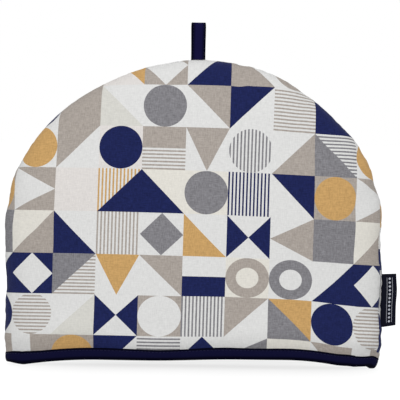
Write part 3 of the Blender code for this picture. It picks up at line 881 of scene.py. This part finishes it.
def navy_cotton(name, base, rubbed, middle, shaded_bands):
    """Dyed cotton tape: a fine twill, a little paler where it is rubbed, and darkened by painted shade in
    bands.
    Each band of painted shade is given by where it begins and ends, from the tape's middle, and how dark it is
    at both.
    """
    material, tree, surface = matt_finish(
        name, roughness=0.8, sheen=0.02, sheen_roughness=0.4, tint=(0.30, 0.32, 0.60), glint=0.02,
    )
    place, along, across = cloth_place(tree)
    threads = slubs(tree, place, crosswise=1900.0, lengthwise=240.0)
    clouds = maths(tree, "MULTIPLY", grain(tree, place, 90.0, detail=3.0), 1 - SLUB_SHARE)
    colour = mix_paint(tree, maths(tree, "MULTIPLY_ADD", threads, SLUB_SHARE, clouds), base, rubbed)
    from_middle = maths(tree, "ABSOLUTE", maths(tree, "SUBTRACT", across, middle))
    # Painted shade: the navy darkens within each band, where the tape turns at its folds and edges.
    depth = 0.0
    for band in shaded_bands:
        depth = maths(tree, "MAXIMUM", depth, eased_range(tree, from_middle, *band))
    twill = maths(tree, "ADD", ribs(tree, maths(tree, "ADD", along, across), TWILL), threads)
    dress(tree, surface, mix_paint(tree, depth, colour, SHADED_NAVY), twill, depth=0.0001, strength=0.5)
    return material


def sewing_thread(name, colour, painted_highlight_gain):
    """Polished thread, whose plies show as fine ridges, lighter in colour on their tops: a painted highlight.
    """
    material, tree, surface = matt_finish(
        name, roughness=0.6, sheen=0.1, sheen_roughness=0.3, tint=(0.5, 0.5, 0.6), glint=0.15,
    )
    plies = grain(tree, node(tree, "ShaderNodeTexCoord", pick=3), 2600.0, detail=1.0, roughness=0.5)
    # The lighter colour is a painted highlight, this many times the thread's own colour.
    light = tuple(min(1.0, painted_highlight_gain * part) for part in colour)
    dress(tree, surface, mix_paint(tree, plies, colour, light), plies, depth=0.0001, strength=0.4)
    return material


hem_line, hem_lengths, hem_whole = hem_path()
hem_x = hem_line[:, 0]
hem_ahead = np.roll(hem_line, -1, axis=0) - np.roll(hem_line, 1, axis=0)
hem_ahead /= np.linalg.norm(hem_ahead, axis=-1, keepdims=True)
hem_outwards = np.stack([hem_ahead[:, 1], -hem_ahead[:, 0]], axis=-1)
hem_gathered = hem_x * draw_in_share(hem_x, 0.0)
hem_points = np.stack([CENTRE_X + hem_gathered, hem_line[:, 1], hem_lift(hem_x, 0 * hem_x)], axis=-1)
hem_reach = hem_gathered / (HALF_WIDTH - HEM_PULL)
hem_drawn = DRAWN_RIGHT * climb(hem_reach, DRAWN_FROM, 1) - DRAWN_LEFT * climb(-hem_reach, DRAWN_FROM, 1)
hem_tuck, hem_waver = tuck_at(hem_x), swelling(hem_x, EDGE_WAVERS)
side_seams = hem_points[[0, HEM_STEPS // 2], None, :2]
from_side = np.linalg.norm(hem_points[:, :2] - side_seams, axis=-1).min(axis=0)
hem_guide = guide_line(
    "hem_guide", hem_points, True,
    along=hem_lengths, pinch=PINCH * bump(from_side / PINCH_REACH), tuck=hem_tuck, drawn=hem_drawn,
    waver=hem_waver,
)
fold_points = BINDING_FOLD + tuple(row._replace(out=-row.out) for row in BINDING_FOLD[-2::-1])
fold_outline = [(-row.out, -row.up, 0.0) for row in fold_points]  # the sweep turns the section half round
fold_lengths = line_lengths(fold_outline)
fold_guide = guide_line(
    "fold_guide", fold_outline, True,
    round=fold_lengths,
    loose=[row.loose for row in fold_points],
    low=[1 - min(row.up / BINDING_HEIGHT, 1) for row in fold_points],
)
EDGE_SHADE_SHARE = 0.85  # painted shade: how far the navy darkens at the fold underneath and along the turned top edge
# Painted shade in two bands: under the fold at the foot, and along the turned top edge.
FOLD_SHADE_BAND, TOP_EDGE_SHADE_BAND = (0.0042, 0.0064, EDGE_SHADE_SHARE, 0.0), (0.0102, 0.0124, 0.0, EDGE_SHADE_SHARE)
binding_cloth = navy_cotton(
    "navy_binding_cotton", NAVY_CLOTH, RUBBED_NAVY, fold_lengths[-1] / 2, (FOLD_SHADE_BAND, TOP_EDGE_SHADE_BAND),
)
binding = grown(
    "folded_binding", hem_guide, tape_tree(),
    section=fold_guide, pucker_depth=0.0011, puckers_per_metre=95.0, cloth=binding_cloth,
)
bpy.data.objects.remove(fold_guide)
wrap_length(binding.data, (hem_whole, float(fold_lengths[-1] + 2 * BINDING_SLOT)))
rounded = binding.modifiers.new("rounded", "SUBSURF")
rounded.levels = rounded.render_levels = 1
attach(binding, "root")
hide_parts("hem_binding")

STITCH_LENGTH, STITCH_GAP, THREAD = 0.0026, 0.0008, 0.0005
STITCH_HEIGHT = STITCH_LINE / BINDING_HEIGHT
stitches = stitch_tree()
navy_thread = sewing_thread("navy_thread", paint(14, 14, 42), painted_highlight_gain=2.2)
for line_name, way in (("binding_stitches_outside", 1), ("binding_stitches_inside", -1)):
    reach = way * (BINDING_FACE + THREAD / 4)
    seat = hem_points + np.column_stack([hem_outwards * reach, np.full(HEM_STEPS, STITCH_LINE)])
    seat[:, 0] -= hem_tuck * (1 - STITCH_HEIGHT) + hem_drawn * STITCH_HEIGHT
    seat[:, 2] += hem_waver * STITCH_HEIGHT
    line = grown(
        line_name, guide_line(line_name + "_guide", seat, True), stitches,
        stitch_length=STITCH_LENGTH, gap=STITCH_GAP, thread=THREAD, unevenness=0.08, cloth=navy_thread,
    )
    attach(line, "root")


# ---- Hanging loop ----
# A short length of navy cotton tape, its edges turned in and stitched down, folded in half and sewn into the
# top seam with its cut ends inside. It has taken a slight twist, and painted shade darkens its edges.

LOOP_TOP = 0.3196
LOOP_EYE = 0.0072  # widest gap between its two layers
LOOP_ROOT = 0.0075  # how far its ends run down into the seam
LOOP_NECK, LOOP_CROWN = 0.0005, 0.0056  # where its layers begin to part, and the height of its rounded top
LOOP_TWIST = math.radians(4)
LOOP_STEPS, TAPE_COLUMNS, ROUNDING = 24, 26, 5  # points along each stretch, across, and round each edge
Edge = namedtuple("Edge", "swell groove place")
TURNED_EDGE = Edge(swell=0.00012, groove=0.00015, place=0.0017)
GROOVE_SPREAD = 0.0003


def with_mirror(half):
    """A path across a seam from one side to its last point, and back down the other side."""
    return np.concatenate([half, half[-2::-1] * (-1, 1)])


def loop_path():
    """The loop's line, out of the seam, over the top and down again: across the seam, and up from it."""
    tail = (LOOP_CLOTH + SEAM_GAP) / 2
    eye = (LOOP_EYE + LOOP_CLOTH) / 2
    shoulder = LOOP_TOP - SEAM_TOP - LOOP_CLOTH / 2 - LOOP_CROWN
    neck = SEAM_INSET + LOOP_NECK
    share = np.linspace(0, 1, LOOP_STEPS)
    root = np.stack([tail + 0 * share, -LOOP_ROOT + (neck + LOOP_ROOT) * share], axis=-1)
    widening = np.stack([tail + (eye - tail) * smooth(share), neck + (shoulder - neck) * share], axis=-1)
    turn = share * math.pi / 2
    top = np.stack([eye * np.cos(turn), shoulder + LOOP_CROWN * np.sin(turn)], axis=-1)
    return with_mirror(np.concatenate([root[:-1], widening[:-1], top]))


def tape_section(width, cloth, edge):
    """Across a tape, once round: its place across, and its place through the cloth."""
    flat_half = width / 2 - cloth / 2
    across = np.linspace(-1, 1, TAPE_COLUMNS)[1:-1] * flat_half
    inset = width / 2 - np.abs(across)
    raised = edge.swell * bump((inset - edge.place / 2) / (edge.place / 2))
    raised = raised - edge.groove * bump((inset - edge.place) / GROOVE_SPREAD)
    turn = np.linspace(-math.pi / 2, math.pi / 2, ROUNDING + 2)
    round_edge = np.stack([np.cos(turn) * cloth / 2 + flat_half, np.sin(turn) * cloth / 2], axis=-1)
    lower = np.stack([across, -cloth / 2 - raised], axis=-1)
    return np.concatenate([lower, round_edge, (lower * (1, -1))[::-1], -round_edge])


def path_normals(path):
    """The directions to the left of a path in a plane."""
    ahead = np.gradient(path, axis=0)
    ahead /= np.linalg.norm(ahead, axis=-1, keepdims=True)
    return np.stack([-ahead[:, 1], ahead[:, 0]], axis=-1)


def woven_tape(name, path, width, cloth, edge, material, hang):
    """A tape along a path in the YZ plane, its width along X, then hung in place. Its ends are closed."""
    lengths, normals = line_lengths(path)[:, None], path_normals(path)
    across, through = tape_section(width, cloth, edge).T[:, None]
    points = np.stack([
        across + 0 * lengths,
        path[:, None, 0] + through * normals[:, None, 0],
        path[:, None, 1] + through * normals[:, None, 1],
    ], axis=-1)
    number = np.arange(points[..., 0].size).reshape(points.shape[:2])
    quads = grid_quads(np.concatenate([number, number[:, :1]], axis=1)).tolist()
    flat = np.stack([lengths + 0 * across, across + 0 * lengths], axis=-1).reshape(-1, 2)
    faces = quads + [number[0, ::-1].tolist(), number[-1].tolist()]
    return mesh_piece(name, hang(points.reshape(-1, 3)), faces, flat, [material])


def hang_loop(points):
    """Twists the loop about its own middle as it rises, and stands it in the top seam."""
    height = np.maximum(points[:, 2], 0.0)
    angle = LOOP_TWIST * smooth(height / (LOOP_TOP - SEAM_TOP))
    x = points[:, 0] * np.cos(angle) - points[:, 1] * np.sin(angle)
    y = points[:, 0] * np.sin(angle) + points[:, 1] * np.cos(angle)
    return np.stack([CENTRE_X + LOOP_X + x, y, SEAM_TOP + points[:, 2]], axis=-1)


TAPE_EDGE_SHADE = (LOOP_WIDTH / 2 - 0.0044, LOOP_WIDTH / 2 - 0.0008, 0.0, 0.97)  # painted shade along both edges, darkest at the edge
tape_cloth = navy_cotton("navy_loop_cotton", paint(15, 13, 48), paint(22, 20, 60), 0.0, (TAPE_EDGE_SHADE,))
loop_line = loop_path()
loop = woven_tape("tape_loop", loop_line, LOOP_WIDTH, LOOP_CLOTH, TURNED_EDGE, tape_cloth, hang_loop)
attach(loop, "root")
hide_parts("hanging_loop")
outside = loop_line - path_normals(loop_line) * (LOOP_CLOTH / 2)
for line_name, way in (("loop_stitches_left", -1), ("loop_stitches_right", 1)):
    place = way * (LOOP_WIDTH / 2 - TURNED_EDGE.place)
    seat = hang_loop(np.column_stack([np.full(len(loop_line), place), outside]))
    seat = seat[LOOP_STEPS // 2 : -LOOP_STEPS // 2]
    line = grown(
        line_name, guide_line(line_name + "_guide", seat, False), stitches,
        stitch_length=0.0021, gap=0.0007, thread=0.00035, unevenness=0.06, cloth=navy_thread,
    )
    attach(line, "root")


# ---- Side label ----
# A woven ribbon folded over and sewn into the side seam, its cut ends inside. The face is near-black satin,
# with a narrow border of small diamonds between two fine lines woven in off-white.

LABEL_REACH = 0.013  # out from the padding's side
LABEL_ROOT = 0.0072  # how far its ends run into the seam
LABEL_STEPS = 14
WOVEN_EDGE = Edge(swell=0.00005, groove=0.0, place=0.0012)
LABEL_SPREAD = (0.0004, 0.0013)  # how far the sewn end is pulled down at its top and its foot
LABEL_RISE = (0.0006, 0.0021)  # and how far the folded end lifts there
LABEL_BELLY = Swell(place=0.33, size=0.0009, spread=0.2)  # its fold stands out most a third of the way down
LABEL_CURL, CURL_WAVE, CURL_START = 0.0007, 3.0, 0.5


def label_path():
    """The label's two layers and the fold between them: across the seam, and out from the padding's side."""
    half = (LABEL_CLOTH + SEAM_GAP) / 2
    fold = LABEL_REACH - LABEL_CLOTH / 2
    out = np.linspace(-SEAM_INSET - LABEL_ROOT, fold - half, LABEL_STEPS)
    turn = np.linspace(0, math.pi / 2, ROUNDING)
    layer = np.stack([half + 0 * out, out], axis=-1)
    bend = np.stack([half * np.cos(turn), fold - half + half * np.sin(turn)], axis=-1)
    return with_mirror(np.concatenate([layer[:-1], bend]))


def hang_label(points):
    """Turns the label to stick out of the right side seam, its folded end lifting and curling a little."""
    along, out = points[:, 0], points[:, 2]
    free = np.maximum(out, 0.0) / LABEL_REACH
    down = along / LABEL_WIDTH + 0.5
    x = CENTRE_X + COSY_WIDTH / 2 + out + free * swelling(down, [LABEL_BELLY])
    y = points[:, 1] + LABEL_CURL * free**2 * np.sin(CURL_WAVE * along / LABEL_WIDTH + CURL_START)
    pulled = np.interp(down, (0, 1), LABEL_SPREAD) - free * np.interp(down, (0, 1), LABEL_RISE)
    return np.stack([x, y, LABEL_FOOT + LABEL_WIDTH / 2 - along - pulled], axis=-1)


BORDER_PLACE = LABEL_ROOT + SEAM_INSET + LABEL_REACH * 0.52  # in from the cut end
BORDER_END = 0.0035  # it stops this far from the label's edges
DIAMOND_PITCH, DIAMOND_HALF = 0.0036, 0.00125
LINE_OFFSET, LINE_HALF = 0.0024, 0.00014  # the fine lines on either side of the diamonds
SATIN_RIB, RIB_SHARE = 0.0003, 0.4
label_line = label_path()
label_length = float(line_lengths(label_line)[-1])


def woven_satin():
    """The label's cloth. Both its layers carry the border, since it is woven as far from each cut end."""
    material, tree, surface = matt_finish(
        "navy_woven_label", roughness=0.5, sheen=0.02, sheen_roughness=0.3, tint=(0.6, 0.6, 0.7), glint=0.05,
    )
    place, along, across = cloth_place(tree)
    from_fold = maths(tree, "ABSOLUTE", maths(tree, "SUBTRACT", along, label_length / 2))
    from_end = maths(tree, "SUBTRACT", label_length / 2, from_fold)
    off_middle = maths(tree, "ABSOLUTE", maths(tree, "SUBTRACT", from_end, BORDER_PLACE))
    cell = maths(tree, "PINGPONG", across, DIAMOND_PITCH / 2)
    from_point = maths(tree, "SUBTRACT", DIAMOND_PITCH / 2, cell)
    diamond = maths(tree, "LESS_THAN", maths(tree, "ADD", from_point, off_middle), DIAMOND_HALF)
    line = maths(tree, "COMPARE", off_middle, LINE_OFFSET, LINE_HALF)
    inside = maths(tree, "LESS_THAN", maths(tree, "ABSOLUTE", across), LABEL_WIDTH / 2 - BORDER_END)
    figure = maths(tree, "MULTIPLY", maths(tree, "MAXIMUM", diamond, line), inside)
    threads = slubs(tree, place, crosswise=2400.0, lengthwise=500.0)
    ground = mix_paint(tree, threads, paint(4, 5, 17), paint(10, 11, 27))
    thread = mix_paint(tree, threads, paint(132, 134, 146), paint(196, 198, 206))
    relief = maths(tree, "MULTIPLY", ribs(tree, along, SATIN_RIB), RIB_SHARE)
    relief = maths(tree, "ADD", relief, maths(tree, "ADD", figure, threads))
    dress(tree, surface, mix_paint(tree, figure, ground, thread), relief, depth=0.0001, strength=0.4)
    return material


satin = woven_satin()
label = woven_tape("folded_label", label_line, LABEL_WIDTH, LABEL_CLOTH, WOVEN_EDGE, satin, hang_label)
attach(label, "root")
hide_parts("side_label")


# ---- Studio ----
# A pale lit table in an even white room, as for a catalogue: a broad soft light in front, another behind,
# and a faint one above. The camera stands far back, a little lower than the cosy's top.

FLOOR_SIZE = 60.0
FLOOR_TONE, FLOOR_GLOW = 0.10, 0.93  # the glow keeps the shadows pale
FLOOR_BOUNCE = 0.5  # the share of that glow which lights the cosy
# The patch below is a painted shadow in the table's glow.
# The table glows less in a patch round the cosy: how much less, the patch's middle, and its reach each way.
SHADE, SHADE_MIDDLE, SHADE_REACH = 0.25, (0.0, 0.09, 0.0), (0.168, 0.20, 1.0)
SHADE_POWER = 6.0  # high for a patch with steep sides
ROOM_WHITE, ROOM_LIGHT = 1.0, 0.75  # what the camera sees of the room, and what lights the cosy
SoftLight = namedtuple("SoftLight", "place size watts")
SOFT_LIGHTS = (
    SoftLight(place=(0.0, 0.0, 3.0), size=4.0, watts=8.0),
    SoftLight(place=(-0.1, -3.2, 1.0), size=1.6, watts=57.0),
    SoftLight(place=(0.1, 3.2, 1.0), size=1.6, watts=45.0),
)
LIGHT_AIM = Vector((0.0, 0.0, 0.12))
CAMERA_PLACE, CAMERA_AIM = Vector((-0.0017, -5.0, 0.24)), Vector((-0.0017, 0.0, 0.1545))
CAMERA_ROLL = math.radians(0.8)
VIEW_WIDTH = 0.37234  # metres across the frame, at the object
SENSOR = 36.0


def glow_for_camera(tree, seen_glow, lit_share):
    """A glow that the camera sees in full, and that lights everything else by this share of it."""
    is_seen = node(tree, "ShaderNodeLightPath")
    return maths(tree, "MULTIPLY", seen_glow, maths(tree, "MULTIPLY_ADD", is_seen, 1 - lit_share, lit_share))


def aimed(place, aim):
    return (aim - place).to_track_quat("-Z", "Y")


floor_mesh = bpy.data.meshes.new("studio_floor")
corners = [(across * FLOOR_SIZE / 2, along * FLOOR_SIZE / 2, 0.0)
           for across, along in ((-1, -1), (1, -1), (1, 1), (-1, 1))]
floor_mesh.from_pydata(corners, [], [(0, 1, 2, 3)])
floor_finish, floor_tree, floor_surface = matt_finish(
    "lit_acrylic", roughness=0.9, sheen=0.0, sheen_roughness=0.5, tint=(1, 1, 1), glint=0.05,
)
floor_surface.inputs["Base Color"].default_value = (FLOOR_TONE, FLOOR_TONE, FLOOR_TONE, 1.0)
floor_surface.inputs["Emission Color"].default_value = (1.0, 1.0, 1.0, 1.0)
floor_place = node(floor_tree, "ShaderNodeTexCoord", pick=3)
from_middle = node(floor_tree, "ShaderNodeVectorMath", floor_place, SHADE_MIDDLE, operation="SUBTRACT")
reached = node(floor_tree, "ShaderNodeVectorMath", from_middle, SHADE_REACH, operation="DIVIDE")
sideways, back = apart(floor_tree, reached)
sideways = maths(floor_tree, "POWER", maths(floor_tree, "ABSOLUTE", sideways), SHADE_POWER)
falling = maths(floor_tree, "ADD", sideways, maths(floor_tree, "MULTIPLY", back, back))
# Painted shadow round the cosy: the table's glow is lessened in this patch.
shade = maths(floor_tree, "EXPONENT", maths(floor_tree, "MULTIPLY", falling, -1.0))
glow = maths(floor_tree, "MULTIPLY_ADD", shade, -SHADE * FLOOR_GLOW, FLOOR_GLOW)
glow = glow_for_camera(floor_tree, glow, FLOOR_BOUNCE)
floor_tree.links.new(glow, floor_surface.inputs["Emission Strength"])
floor_mesh.materials.append(floor_finish)
link("studio_floor", floor_mesh)

world = bpy.data.worlds.new("studio_room")
world.use_nodes = True
bpy.context.scene.world = world
room = world.node_tree.nodes["Background"]
room.inputs["Color"].default_value = (1.0, 1.0, 1.0, 1.0)
brightness = glow_for_camera(world.node_tree, ROOM_WHITE, ROOM_LIGHT / ROOM_WHITE)
world.node_tree.links.new(brightness, room.inputs["Strength"])
bpy.context.scene.view_settings.view_transform = "Standard"

for number, light in enumerate(SOFT_LIGHTS):
    lamp = bpy.data.lights.new(f"soft_light_{number}", "AREA")
    lamp.shape, lamp.size, lamp.energy = "SQUARE", light.size, light.watts
    stand = link(lamp.name, lamp)
    stand.location = light.place
    stand.rotation_euler = aimed(Vector(light.place), LIGHT_AIM).to_euler()
    stand.visible_camera = False

lens = bpy.data.cameras.new("camera")
lens.sensor_width = SENSOR
lens.lens = SENSOR * (CAMERA_AIM - CAMERA_PLACE).length / VIEW_WIDTH
lens.clip_end = 100.0
camera = link("camera", lens)
camera.location = CAMERA_PLACE
camera.rotation_euler = (aimed(CAMERA_PLACE, CAMERA_AIM) @ Quaternion((0, 0, 1), CAMERA_ROLL)).to_euler()
bpy.context.scene.camera = camera
